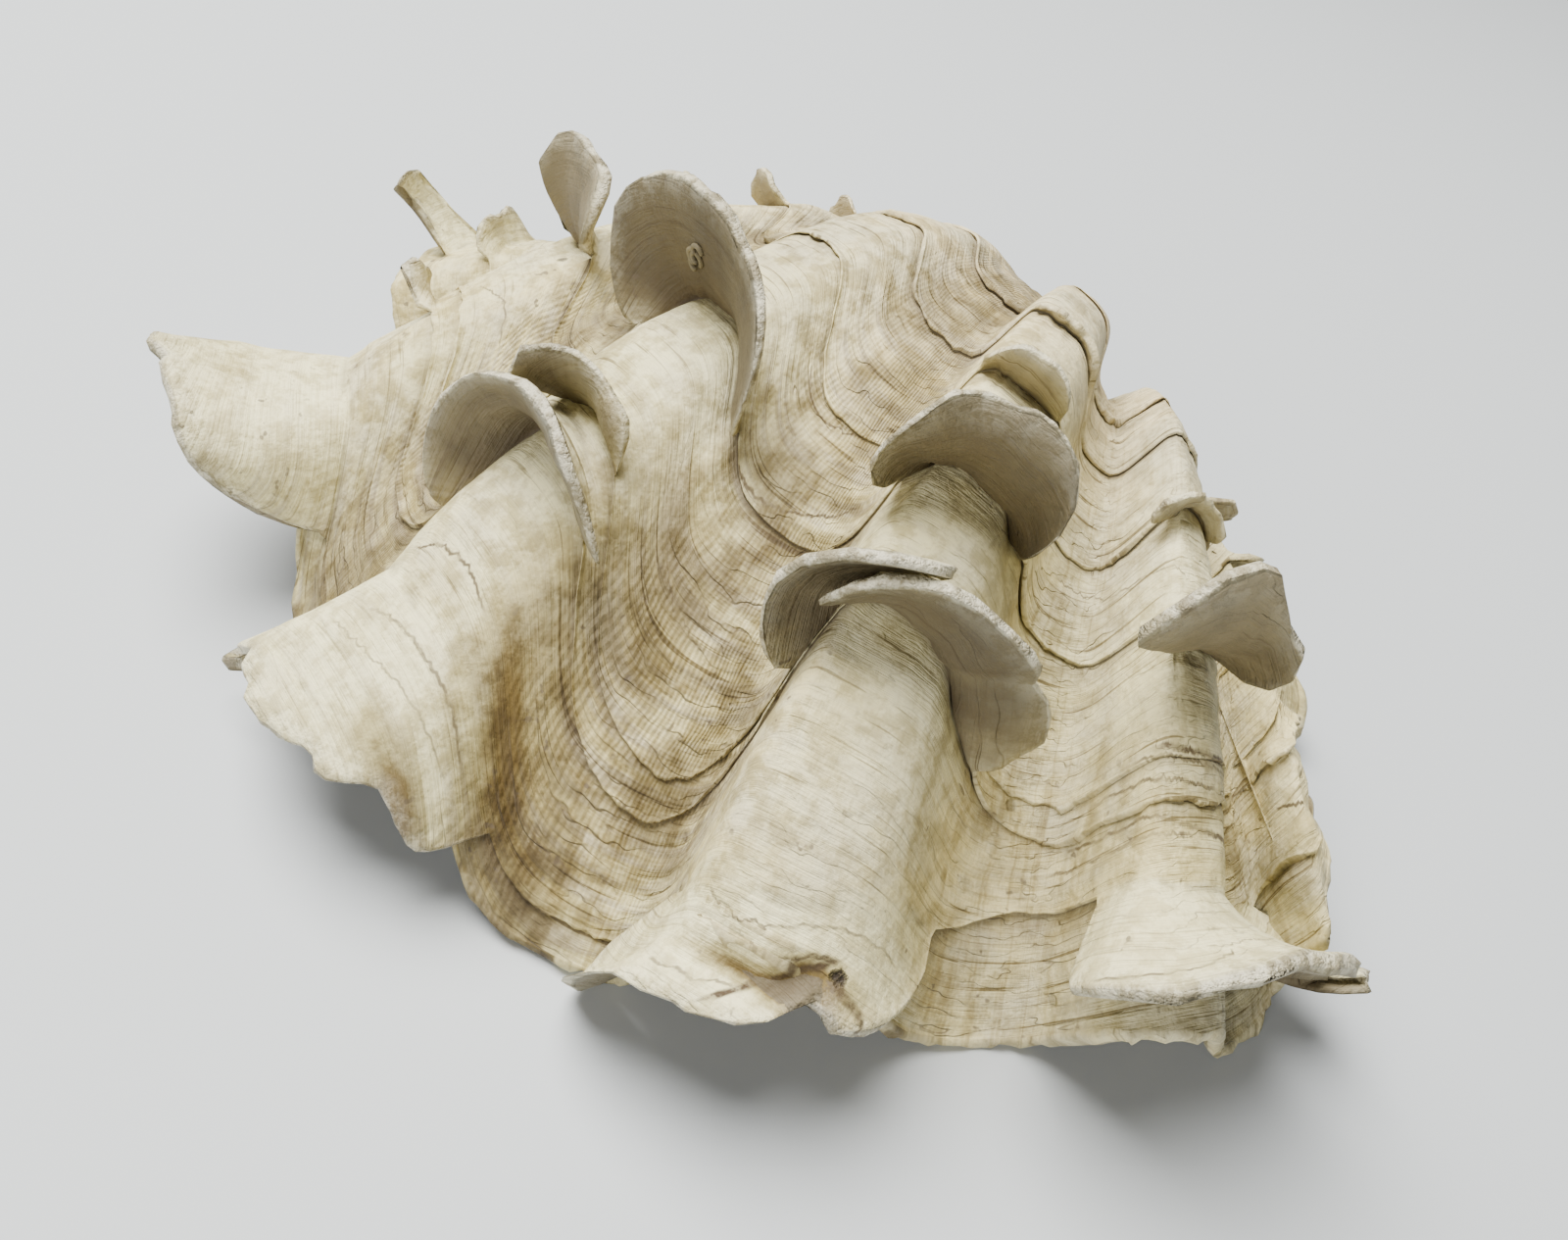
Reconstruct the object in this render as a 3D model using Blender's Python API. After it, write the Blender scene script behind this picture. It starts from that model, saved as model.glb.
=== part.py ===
"""Giant clam shell: one valve of a fluted giant clam, lying on its margin with the outside up.

The valve is one growth surface. A margin curve with six radial folds is shrunk and turned about the
hinge axis, as a shell grows, and each halt in its growth leaves a lip that stands out as a flute over
the folds. Lengths are millimetres until the mesh is made. X runs along the hinge, the umbo is towards
+Y, the free margin towards -Y, and the valve rests on Z = 0.
"""

import bmesh
import bpy
import numpy as np

OBJECT_NAME = "giant_clam_shell"
NODE_NAME = "valve"

# Margin curve: crests of the folds stand at whole numbers of u and grooves halfway between them
CREST_U = np.arange(0.0, 6.5, 1.0)
CREST_REACH = np.array([117.0, 119.0, 117.0, 124.0, 121.0, 105.0, 62.0])
CREST_RISE = np.array([16.0, 20.5, 25.0, 22.5, 19.0, 15.0, 7.0])
GROOVE_U = np.arange(-0.5, 6.0, 1.0)
GROOVE_REACH = np.array([97.0, 115.0, 127.0, 126.0, 115.0, 111.0, 78.0])
GROOVE_RISE = np.array([6.0, -1.5, -2.0, -4.0, -2.5, 1.5, 0.0])
TURN_U = np.arange(-0.5, 6.25, 0.5)
TURN_DEG = np.array([-88, -70.5, -56.5, -41, -24.5, -13.5, 7, 17, 33.5, 40.5, 52, 57, 72, 86.0])
FOLD_SHARPNESS = 2.0

# Growth: how fast the older margins turn about the hinge, and how they creep along it
COIL_MEAN = 1.51
COIL_SLOPE = -0.22
COIL_BEND = 0.09
CREEP = 1.1
BEAK_GROWTH = 0.15

# Halts in growth, newest first, as a share of the full size, and where each one strays along u
HALTS = [1.0, 0.947, 0.852, 0.825, 0.714, 0.618, 0.529, 0.44]
STRAY_U = np.array([0.0, 1.0, 1.5, 2.0, 2.5, 3.0, 3.5, 4.0, 4.5, 5.0])
STRAY = np.array([
    [0.0, 0.01, -0.02, 0.03, -0.01, 0.0, 0.0, 0.01, 0.03, 0.0],
    [0.0, 0.01, 0.0, 0.04, 0.02, 0.035, -0.045, -0.025, -0.015, 0.0],
    [0.0, 0.01, 0.01, -0.017, 0.048, -0.06, 0.0, 0.013, -0.01, -0.037],
    [0.0, 0.01, 0.01, -0.012, 0.048, -0.055, 0.0, 0.013, -0.01, -0.037],
    [0.0, 0.0, 0.0, -0.017, 0.0, -0.02, 0.0, 0.028, 0.008, 0.0],
    [0.0, -0.02, 0.0, -0.017, 0.024, 0.005, 0.027, 0.0, 0.0, -0.017],
    [0.0, 0.0, 0.0, -0.02, 0.0, 0.017, 0.0, 0.0, 0.0, 0.0],
    [0.0, 0.0, 0.0, 0.0, 0.0, 0.0, 0.0, 0.0, 0.0, 0.0],
])

# Flutes: halt, u of the middle, half widths towards smaller and larger u, length, start angle from
# the surface towards its normal, end angle at the middle and at the two flanks, lean, flare, and what
# the two corners add to the length
FLUTES = [
    (1, -0.06, 0.12, 0.08, 15.0, 56, 65, 92, 120, 0.4, -1.4, 6, -12),
    (1, 1.01, 0.25, 0.29, 26.0, 42, 70, 25, 55, -0.1, -1.5, -6, -12),
    (1, 1.96, 0.37, 0.33, 24.0, 22, 8, 122, -12, -0.4, -0.1, -8, -8),
    (1, 2.99, 0.22, 0.30, 14.0, 0, 8, 15, 28, -1.1, 0.5, 17, -5),
    (1, 4.07, 0.31, 0.54, 15.0, 35, 100, -10, 98, 0.4, 0.8, 6, 5),
    (2, 0.00, 0.16, 0.16, 5.0, 60, 90, 60, 60, 0.0, 0.0, 0, 0),
    (2, 0.88, 0.08, 0.09, 5.0, 88, 134, 145, 95, -0.8, 0.0, 0, 4),
    (2, 1.89, 0.18, 0.31, 9.5, 52, 112, 43, 45, 0.9, 1.3, -2, 3),
    (2, 3.09, 0.19, 0.20, 9.5, 60, 116, 15, 150, 0.8, 2.0, 3, -8),
    (2, 4.95, 0.20, 0.25, 2.0, 20, 50, 30, 30, 0.0, 0.0, 0, 0),
    (3, 2.07, 0.18, 0.10, 4.0, 66, 140, 65, 114, 1.1, 1.4, 14, -2),
    (3, 2.92, 0.17, 0.09, 11.0, 54, 84, 57, 103, 0.9, 0.9, -3, -9),
    (4, 1.07, 0.15, 0.10, 12.5, 78, 128, 125, 140, 0.9, 0.8, 5, 2),
    (4, 1.94, 0.18, 0.33, 15.0, 72, 106, 65, 115, -0.6, 0.9, -9, 5),
    (4, 3.13, 0.35, 0.11, 16.5, 26, 130, -5, 38, -0.9, -1.0, -2, -8),
    (4, 3.97, 0.11, 0.24, 20.0, 31, 122, 5, 17, -1.0, 0.3, 3, -8),
    (5, 1.00, 0.12, 0.12, 5.0, 40, 90, 60, 60, 0.0, 0.0, 0, 0),
    (5, 3.02, 0.20, 0.15, 6.6, 37, 95, 60, 83, 0.2, -0.3, -4, -1),
    (5, 4.01, 0.20, 0.19, 3.0, 18, 86, 50, 50, -0.4, 0.4, 8, 0),
    (5, 5.00, 0.16, 0.16, 4.0, 30, 80, 60, 60, 0.0, 0.0, 0, 0),
    (6, 1.00, 0.12, 0.12, 5.0, 40, 90, 60, 60, 0.0, 0.0, 0, 0),
    (6, 3.05, 0.20, 0.20, 1.5, 20, 60, 40, 40, 0.0, 0.0, 0, 0),
    (6, 4.95, 0.16, 0.16, 4.0, 40, 90, 60, 60, 0.0, 0.0, 0, 0),
    (7, 1.00, 0.12, 0.12, 4.0, 40, 90, 60, 60, 0.0, 0.0, 0, 0),
    (7, 4.95, 0.16, 0.16, 3.0, 40, 90, 60, 60, 0.0, 0.0, 0, 0),
]
LIP_LENGTH = 1.4
LIP_THICKNESS = 1.3
FLUTE_THICKNESS = 2.0
MARGIN_THICKNESS = 2.8

# Inside: wall thickness at the margin and deep in the valve, and how far the folds show there
WALL_MARGIN = 3.0
WALL_DEEP = 8.0
INNER_GROWTH = [0.985, 0.94, 0.87, 0.78, 0.68, 0.57, 0.46, 0.37]
HINGE_LEFT = -40.0
HINGE_RIGHT = 32.0
HINGE_Y = -8.0
HINGE_Z = -1.0
WORN = 1.2

U_START = -0.5
U_END = 6.0
FLUTED_RIBS = (1, 2, 3, 4)
FINE_COLUMNS = [-0.5, -0.38, -0.3, -0.25, -0.19, -0.13, -0.06, 0.02, 0.1, 0.17, 0.24, 0.31, 0.4]
PLAIN_COLUMNS = [-0.5, -0.35, -0.22, -0.13, -0.05, 0.05, 0.14, 0.24, 0.36]
BODY_SHARES = [[0.5], [0.35, 0.7], [0.5], [0.5], [0.5], [0.5], [0.5], [0.0, 0.35, 0.7]]
FLUTE_STEPS = [[0, 1], [0, 0.5, 1], [0, 0.5, 1], [0, 0.5, 1], [0, 0.5, 1], [0, 1], [0, 1], [0, 1]]


def natural_spline(knots, values, x):
    """Cubic through the knots with no bend at the ends, straight beyond them."""
    n = len(knots)
    h = np.diff(knots)
    system = np.eye(n)
    right = np.zeros(n)
    for i in range(1, n - 1):
        system[i, i - 1] = h[i - 1]
        system[i, i] = 2.0 * (h[i - 1] + h[i])
        system[i, i + 1] = h[i]
        right[i] = 6.0 * ((values[i + 1] - values[i]) / h[i] - (values[i] - values[i - 1]) / h[i - 1])
    bend = np.linalg.solve(system, right)
    x = np.clip(x, knots[0], knots[-1])
    k = np.clip(np.searchsorted(knots, x, side="right") - 1, 0, n - 2)
    a = (knots[k + 1] - x) / h[k]
    b = 1.0 - a
    curve = (a**3 - a) * bend[k] + (b**3 - b) * bend[k + 1]
    return a * values[k] + b * values[k + 1] + curve * h[k] ** 2 / 6.0


def monotone(knots, values, x):
    """Cubic through the knots that never overshoots them."""
    h = np.diff(knots)
    slope = np.diff(values) / h
    m = np.zeros(len(knots))
    same = slope[:-1] * slope[1:] > 0
    w1 = 2 * h[1:] + h[:-1]
    w2 = h[1:] + 2 * h[:-1]
    safe0 = np.where(same, slope[:-1], 1.0)
    safe1 = np.where(same, slope[1:], 1.0)
    m[1:-1] = np.where(same, (w1 + w2) / (w1 / safe0 + w2 / safe1), 0.0)
    m[0] = slope[0]
    m[-1] = slope[-1]
    x = np.clip(x, knots[0], knots[-1])
    k = np.clip(np.searchsorted(knots, x, side="right") - 1, 0, len(knots) - 2)
    t = (x - knots[k]) / h[k]
    p0 = (1 + 2 * t) * (1 - t) ** 2 * values[k] + t * (1 - t) ** 2 * h[k] * m[k]
    p1 = t**2 * (3 - 2 * t) * values[k + 1] + t**2 * (t - 1) * h[k] * m[k + 1]
    return p0 + p1


def grown(u, g, fold=1.0):
    """Point of the growth surface at u when the valve had the share g of its full size."""
    wave = np.tanh(FOLD_SHARPNESS * np.cos(2 * np.pi * u)) / np.tanh(FOLD_SHARPNESS)
    crest = 0.5 * (1 + wave) * fold
    reach = crest * natural_spline(CREST_U, CREST_REACH, u)
    reach = reach + (1 - crest) * natural_spline(GROOVE_U, GROOVE_REACH, u)
    rise = crest * natural_spline(CREST_U, CREST_RISE, u)
    rise = rise + (1 - crest) * natural_spline(GROOVE_U, GROOVE_RISE, u)
    turn = np.radians(monotone(TURN_U, TURN_DEG, u))
    side = (u - 2.5) / 3.0
    coil = -(COIL_MEAN + COIL_SLOPE * side + COIL_BEND * side**2) * np.log(g)
    x = reach * np.sin(turn)
    y = -reach * np.cos(turn)
    yy = y * np.cos(coil) + rise * np.sin(coil)
    zz = -y * np.sin(coil) + rise * np.cos(coil)
    return np.stack([g * x + CREEP * g * np.log(g), g * yy, g * zz], -1)


def unit(v):
    return v / np.maximum(np.linalg.norm(v, axis=-1, keepdims=True), 1e-9)


def frame(u, g, fold=1.0):
    """The point, the direction of growth, and the outward normal."""
    du = 0.02
    dg = 0.01
    point = grown(u, g, fold)
    grow = unit(grown(u, g + dg, fold) - grown(u, g - dg, fold))
    along = grown(u + du, g, fold) - grown(u - du, g, fold)
    normal = unit(np.cross(grow, along))
    return point, grow, normal


def halt_growth(k, u):
    """Growth share of halt k along the margin."""
    return HALTS[k] * (1.0 + monotone(STRAY_U, STRAY[k], u))


def plateau(x):
    return np.clip(1.0 - np.abs(x) ** 5, 0.0, 1.0) ** 0.7


def flute_shape(k, u):
    """Length, start angle, end angle and sideways drift of the lip left by halt k."""
    length = np.full_like(u, LIP_LENGTH)
    start = np.full_like(u, 20.0)
    end = np.full_like(u, 30.0)
    drift = np.zeros_like(u)
    for halt, mid, left, right, reach, a0, a1, a_left, a_right, lean, flare, c_left, c_right in FLUTES:
        if halt != k:
            continue
        x = np.where(u < mid, (u - mid) / left, (u - mid) / right)
        share = plateau(x)
        x = np.clip(x, -1, 1)
        corner = np.where(x < 0, c_left, c_right) * x**2
        length += share * (reach + corner)
        flank = a1 + np.where(x < 0, a_left - a1, a_right - a1) * x**2
        start += share * (a0 - 20.0)
        end += share * (flank - 30.0)
        drift += (share > 0) * (lean + flare * x)
    return length, np.radians(start), np.radians(end), drift


def flute_rows(k, u, steps):
    """Rows of the lip of halt k: outside to the rim, then back along the underside."""
    g = halt_growth(k, u)
    point, grow, normal = frame(u, g)
    length, start, end, drift = flute_shape(k, u)
    along = unit(np.cross(normal, grow))
    wide = np.clip((length - LIP_LENGTH) / 12.0, 0.0, 1.0)
    thick = LIP_THICKNESS + (FLUTE_THICKNESS - LIP_THICKNESS) * wide
    if k == 0:
        thick = np.full_like(thick, MARGIN_THICKNESS)
    fine = 24
    path = [point]
    backs = []
    for i in range(fine + 1):
        angle = (start + (end - start) * i / fine)[:, None]
        backs.append(-np.sin(angle) * grow + np.cos(angle) * normal)
        heading = np.cos(angle) * grow + np.sin(angle) * normal + (drift * i / fine)[:, None] * along
        path.append(path[-1] + heading * (length / fine)[:, None])
    outer = []
    under = []
    for s in steps:
        i = int(round(s * fine))
        outer.append(path[i])
        under.append(path[i] - backs[i] * thick[:, None])
    return outer, under, thick


def outside_rows(u):
    """All rows of the outside, from the beak to the margin."""
    rows = []
    beak = np.full_like(u, BEAK_GROWTH)
    older = beak
    sink = np.zeros_like(u)
    last = len(HALTS) - 1
    for k in range(last, -1, -1):
        newer = halt_growth(k, u)
        shares = BODY_SHARES[k]
        for s in shares:
            g = older + (newer - older) * s
            point, _, normal = frame(u, g)
            rows.append(point - normal * (sink * (1 - s) ** 2)[:, None])
        outer, under, thick = flute_rows(k, u, FLUTE_STEPS[k])
        rows += outer
        rows += under[::-1]
        older = newer
        sink = thick
    return rows


def inside_rows(u):
    """Rows of the inside, from the margin to the hinge plate."""
    rows = []
    for g in INNER_GROWTH:
        deep = (1.0 - g) / (1.0 - INNER_GROWTH[-1])
        wall = WALL_MARGIN + (WALL_DEEP - WALL_MARGIN) * deep**0.6
        fold = 1.0 - 0.6 * deep**0.8
        point, _, normal = frame(u, np.full_like(u, g), fold)
        rows.append(point - normal * wall)
    share = (u - U_START) / (U_END - U_START)
    hinge = np.stack([
        HINGE_LEFT + (HINGE_RIGHT - HINGE_LEFT) * share,
        np.full_like(u, HINGE_Y),
        np.full_like(u, HINGE_Z),
    ], -1)
    top = rows[-1]
    lift = np.array([0.0, 6.0, 4.0])
    for s in (0.35, 0.7):
        rows.append(top * (1 - s) + hinge * s + lift * (s * (1 - s)))
    rows.append(hinge)
    rows.append(hinge + np.array([0.0, 4.0, -4.0]))
    rows.append(hinge + np.array([0.0, 9.0, -4.5]))
    return rows


def valve_points():
    u = []
    for rib in range(7):
        columns = FINE_COLUMNS if rib in FLUTED_RIBS else PLAIN_COLUMNS
        u += [rib + side for side in columns]
    u = np.array(u)
    u = np.append(u[u < U_END - 0.01], U_END)
    rows = outside_rows(u) + inside_rows(u)
    return np.stack(rows, 0)


def settle(points):
    """Stand the valve on Z = 0, wear its contacts flat and centre its box on the origin."""
    points[..., 2] -= points[..., 2].min() + WORN
    points[..., 2] = np.maximum(points[..., 2], 0.0)
    low = points.min(axis=(0, 1))
    high = points.max(axis=(0, 1))
    points[..., :2] -= 0.5 * (low + high)[:2]
    return points


def build():
    points = settle(valve_points())
    n_rows, n_cols, _ = points.shape
    mesh = bpy.data.meshes.new(NODE_NAME)
    bm = bmesh.new()
    grid = [[bm.verts.new(points[r, c] / 1000.0) for c in range(n_cols)] for r in range(n_rows)]
    for r in range(n_rows):
        after = (r + 1) % n_rows
        for c in range(n_cols - 1):
            corners = (grid[r][c], grid[r][c + 1], grid[after][c + 1], grid[after][c])
            bm.faces.new(corners)
    bm.faces.new([grid[r][0] for r in range(n_rows)])
    bm.faces.new([grid[r][n_cols - 1] for r in range(n_rows - 1, -1, -1)])
    bmesh.ops.triangulate(bm, faces=bm.faces[:])
    bmesh.ops.recalc_face_normals(bm, faces=bm.faces[:])
    bm.to_mesh(mesh)
    bm.free()
    return mesh


def cream_shell():
    material = bpy.data.materials.new("shell")
    material.use_nodes = True
    shader = material.node_tree.nodes["Principled BSDF"]
    shader.inputs["Base Color"].default_value = (0.78, 0.72, 0.62, 1.0)
    shader.inputs["Roughness"].default_value = 0.7
    return material


def main():
    for item in list(bpy.data.objects):
        bpy.data.objects.remove(item, do_unlink=True)
    group = bpy.data.collections.new(OBJECT_NAME)
    bpy.context.scene.collection.children.link(group)
    valve = bpy.data.objects.new(NODE_NAME, build())
    valve.data.materials.append(cream_shell())
    group.objects.link(valve)


main()
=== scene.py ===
"""Giant clam shell: the looks of one fluted valve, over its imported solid.

The visible shell is the same growth surface as the solid, finer, with chipped rims, growth ledges,
a broken corner, a cavity and worm tubes in its mesh, and a material that follows its growth lines.
Lengths are millimetres until a mesh is made. In the shell's own frame X runs along the hinge and
the hinge is at the origin. A place on the shell is given by u, which counts the folds round the
margin, and by growth in millimetres, which counts from the beak.
"""

import math

import bpy
import numpy as np
from mathutils import Matrix


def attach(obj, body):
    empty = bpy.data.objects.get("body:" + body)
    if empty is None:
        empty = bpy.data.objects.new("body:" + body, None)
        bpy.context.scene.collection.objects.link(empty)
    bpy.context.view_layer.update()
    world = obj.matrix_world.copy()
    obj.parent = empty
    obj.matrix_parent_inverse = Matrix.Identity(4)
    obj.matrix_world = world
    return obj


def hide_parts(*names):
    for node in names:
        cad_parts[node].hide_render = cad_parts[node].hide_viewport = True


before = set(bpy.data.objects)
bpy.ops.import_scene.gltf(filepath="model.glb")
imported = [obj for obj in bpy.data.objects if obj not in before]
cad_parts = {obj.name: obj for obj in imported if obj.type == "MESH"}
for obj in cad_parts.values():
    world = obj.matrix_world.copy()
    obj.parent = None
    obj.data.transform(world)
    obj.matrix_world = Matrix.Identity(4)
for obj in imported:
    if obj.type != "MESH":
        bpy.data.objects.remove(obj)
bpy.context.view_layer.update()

MM = 0.001
# Where the hinge's middle lies in the row frame
HINGE_AT = np.array([9.043, 56.166, 4.533])

# Margin curve: crests of the folds stand at whole numbers of u and grooves halfway between them
CREST_U = np.arange(0.0, 6.5, 1.0)
CREST_REACH = np.array([117.0, 119.0, 117.0, 124.0, 121.0, 105.0, 62.0])
CREST_RISE = np.array([16.0, 20.5, 25.0, 22.5, 19.0, 15.0, 7.0])
GROOVE_U = np.arange(-0.5, 6.0, 1.0)
GROOVE_REACH = np.array([97.0, 115.0, 127.0, 126.0, 115.0, 111.0, 78.0])
GROOVE_RISE = np.array([6.0, -1.5, -2.0, -4.0, -2.5, 1.5, 0.0])
TURN_U = np.arange(-0.5, 6.25, 0.5)
TURN_DEG = np.array([-88, -70.5, -56.5, -41, -24.5, -13.5, 7, 17, 33.5, 40.5, 52, 57, 72, 86.0])
FOLD_SHARPNESS = 2.0

# Growth: how fast the older margins turn about the hinge, and how they creep along it
COIL_MEAN = 1.51
COIL_SLOPE = -0.22
COIL_BEND = 0.09
CREEP = 1.1
BEAK_GROWTH = 0.15

# Halts in growth, newest first, as a share of the full size, and where each one strays along u
HALTS = [1.0, 0.947, 0.852, 0.825, 0.714, 0.618, 0.529, 0.44]
STRAY_U = np.array([0.0, 1.0, 1.5, 2.0, 2.5, 3.0, 3.5, 4.0, 4.5, 5.0])
STRAY = np.array([
    [0.0, 0.01, -0.02, 0.03, -0.01, 0.0, 0.0, 0.01, 0.03, 0.0],
    [0.0, 0.01, 0.0, 0.04, 0.02, 0.035, -0.045, -0.025, -0.015, 0.0],
    [0.0, 0.01, 0.01, -0.017, 0.048, -0.06, 0.0, 0.013, -0.01, -0.037],
    [0.0, 0.01, 0.01, -0.012, 0.048, -0.055, 0.0, 0.013, -0.01, -0.037],
    [0.0, 0.0, 0.0, -0.017, 0.0, -0.02, 0.0, 0.028, 0.008, 0.0],
    [0.0, -0.02, 0.0, -0.017, 0.024, 0.005, 0.027, 0.0, 0.0, -0.017],
    [0.0, 0.0, 0.0, -0.02, 0.0, 0.017, 0.0, 0.0, 0.0, 0.0],
    [0.0, 0.0, 0.0, 0.0, 0.0, 0.0, 0.0, 0.0, 0.0, 0.0],
])

# Flutes: halt, u of the middle, half widths towards smaller and larger u, length, start angle from
# the surface towards its normal, end angle at the middle and at the two flanks, lean, flare, and
# what the two corners add to the length
FLUTES = [
    (1, -0.06, 0.12, 0.08, 15.0, 56, 65, 92, 120, 0.4, -1.4, 6, -12),
    (1, 1.01, 0.25, 0.29, 26.0, 42, 70, 25, 55, -0.1, -1.5, -6, -12),
    (1, 1.96, 0.37, 0.33, 24.0, 22, 8, 122, -12, -0.4, -0.1, -8, -8),
    (1, 2.99, 0.22, 0.30, 14.0, 0, 8, 15, 28, -1.1, 0.5, 26, 3),
    (1, 4.07, 0.31, 0.54, 15.0, 35, 100, -10, 98, 0.4, 0.8, 6, 5),
    (2, 0.00, 0.16, 0.16, 5.0, 60, 90, 60, 60, 0.0, 0.0, 0, 0),
    (2, 0.88, 0.08, 0.09, 5.0, 88, 134, 145, 95, -0.8, 0.0, 0, 4),
    (2, 1.89, 0.18, 0.31, 9.5, 52, 112, 43, 45, 0.9, 1.3, -2, 3),
    (2, 3.09, 0.19, 0.20, 9.5, 60, 116, 15, 150, 0.8, 2.0, 3, -8),
    (2, 4.95, 0.20, 0.25, 2.0, 20, 50, 30, 30, 0.0, 0.0, 0, 0),
    (3, 2.07, 0.18, 0.10, 4.0, 66, 140, 65, 114, 1.1, 1.4, 14, -2),
    (3, 2.92, 0.17, 0.09, 11.0, 54, 84, 57, 103, 0.9, 0.9, -3, -9),
    (4, 1.07, 0.15, 0.10, 12.5, 78, 128, 125, 140, 0.9, 0.8, 5, 2),
    (4, 1.94, 0.18, 0.33, 15.0, 72, 106, 65, 115, -0.6, 0.9, -9, 5),
    (4, 3.13, 0.35, 0.11, 16.5, 26, 130, -5, 38, -0.9, -1.0, -2, -8),
    (4, 3.97, 0.11, 0.24, 20.0, 31, 122, 5, 17, -1.0, 0.3, 3, -8),
    (5, 1.00, 0.12, 0.12, 5.0, 40, 90, 60, 60, 0.0, 0.0, 0, 0),
    (5, 3.02, 0.20, 0.15, 6.6, 37, 95, 60, 83, 0.2, -0.3, -4, -1),
    (5, 4.01, 0.20, 0.19, 3.0, 18, 86, 50, 50, -0.4, 0.4, 8, 0),
    (5, 5.00, 0.16, 0.16, 4.0, 30, 80, 60, 60, 0.0, 0.0, 0, 0),
    (6, 1.00, 0.12, 0.12, 5.0, 40, 90, 60, 60, 0.0, 0.0, 0, 0),
    (6, 3.05, 0.20, 0.20, 1.5, 20, 60, 40, 40, 0.0, 0.0, 0, 0),
    (6, 4.95, 0.16, 0.16, 4.0, 40, 90, 60, 60, 0.0, 0.0, 0, 0),
    (7, 1.00, 0.12, 0.12, 4.0, 40, 90, 60, 60, 0.0, 0.0, 0, 0),
    (7, 4.95, 0.16, 0.16, 3.0, 40, 90, 60, 60, 0.0, 0.0, 0, 0),
]

# Lips away from flutes: length and thickness in millimetres, start and end angle in degrees. Then
# a flute's and the margin's thickness, how much of it a rim swells, and the crevice behind a lip
LIP_LENGTH = 0.8
LIP_THICKNESS = 0.55
LIP_START = 20.0
LIP_END = 30.0
FLUTE_THICKNESS = 1.7
MARGIN_THICKNESS = 2.4
RIM_SWELL = 0.2
CREVICE_DEPTH = 0.45
CREVICE_BACK = 0.6

# Inside: wall thickness at the margin and deep in the valve, and how far the folds show there
WALL_MARGIN = 3.0
WALL_DEEP = 8.0
INNER_GROWTH = [0.985, 0.94, 0.87, 0.78, 0.68, 0.57, 0.46, 0.37]
HINGE_LEFT = -40.0
HINGE_RIGHT = 32.0
HINGE_Y = -8.0
HINGE_Z = -1.0

# Where the margin starts and ends
U_START = -0.5
U_END = 6.0

# Fineness of the visible mesh: columns round the margin, rows from one halt to the next with the
# newest first, rows along a flute's outside and underside, round its rim, and inside
COLUMNS = 326
FLUTE_FINE = 48
BODY_STEPS = [6, 12, 6, 16, 16, 14, 12, 34]
FLUTE_OUT = [3, 18, 11, 10, 12, 6, 5, 4]
FLUTE_BACK = [2, 8, 8, 7, 9, 4, 3, 3]
RIM_STEPS = 3
INNER_STEPS = 3
HINGE_STEPS = 8

# Growth along the outside in millimetres for one whole share of growth, and millimetres round the
# shell for one step of u, as the tables below count them
GROWTH_MM = 215.0
AROUND_MM = 52.0

# Growth ledges in the mesh: their spacing in millimetres, and their height in grooves and on crests
LEDGE_MM = 6.3
LEDGE_GROOVE = 0.42
LEDGE_CREST = 0.10

# Painted light that whitens the shell in front of a flute, and painted shade just in front of a lip
PAINTED_LIGHT_SHARE = 0.45
SHADE_SHARE = 0.45

# Where riblets and dirt fade towards the right half, also as painted light on its shaded flanks,
# and where the calm left end stops, in millimetres round the margin from its left end
WEST_MM = 222.0
EAST_MM = 256.0
CALM_MM = 88.0

# Breaks in the rims: halt, u, half width in u, and how much of the length is gone
BREAKS = [
    (1, 2.21, 0.035, 3.0),
    (1, 2.13, 0.020, 1.5),
    (1, 1.86, 0.020, 1.2),
    (1, 3.18, 0.020, 3.5),
    (1, 3.95, 0.020, 2.0),
    (1, 4.30, 0.020, 2.0),
    (1, 0.90, 0.015, 1.5),
    (2, 3.16, 0.015, 1.5),
    (2, 2.13, 0.020, 1.2),
    (4, 4.10, 0.012, 1.2),
    (4, 2.15, 0.012, 1.0),
    (0, 4.20, 0.040, 2.5),
    (0, 3.80, 0.020, 1.5),
    (0, 1.55, 0.020, 2.0),
]

# Hollows and lumps of the outside: u, growth in mm, half length round and along growth in mm, and
# height in mm
DENTS = [
    (3.08, 219.0, 6.0, 1.5, -3.6),
    (3.155, 216.5, 2.2, 2.6, -4.5),
    (3.04, 223.0, 6.5, 1.8, 1.4),
    (3.10, 214.5, 5.0, 1.4, 1.1),
    (2.95, 213.0, 5.0, 1.5, 0.7),
    (2.19, 224.0, 2.5, 1.6, -1.2),
    (2.23, 222.0, 2.0, 1.2, 0.8),
    (2.86, 211.0, 3.0, 2.5, 0.7),
    (4.80, 201.0, 5.0, 5.0, 1.2),
    (4.92, 210.0, 4.0, 3.0, 0.9),
    (4.65, 207.0, 3.5, 2.5, -0.8),
    (0.86, 222.0, 3.0, 2.0, 0.8),
    (1.02, 224.0, 2.5, 2.5, -0.8),
]

# Bore holes and pits of the outside, painted dark inside as shade: u, growth in mm, radius in mm,
# darkness
HOLES = [
    (2.930, 154.6, 0.95, 1.0),
    (3.239, 182.0, 0.55, 0.9),
    (1.085, 160.6, 1.30, 0.8),
    (2.050, 223.4, 0.50, 0.8),
    (3.687, 210.0, 0.80, 0.35),
    (3.415, 179.1, 0.70, 0.45),
    (3.160, 215.0, 1.10, 1.0),
]
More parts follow.
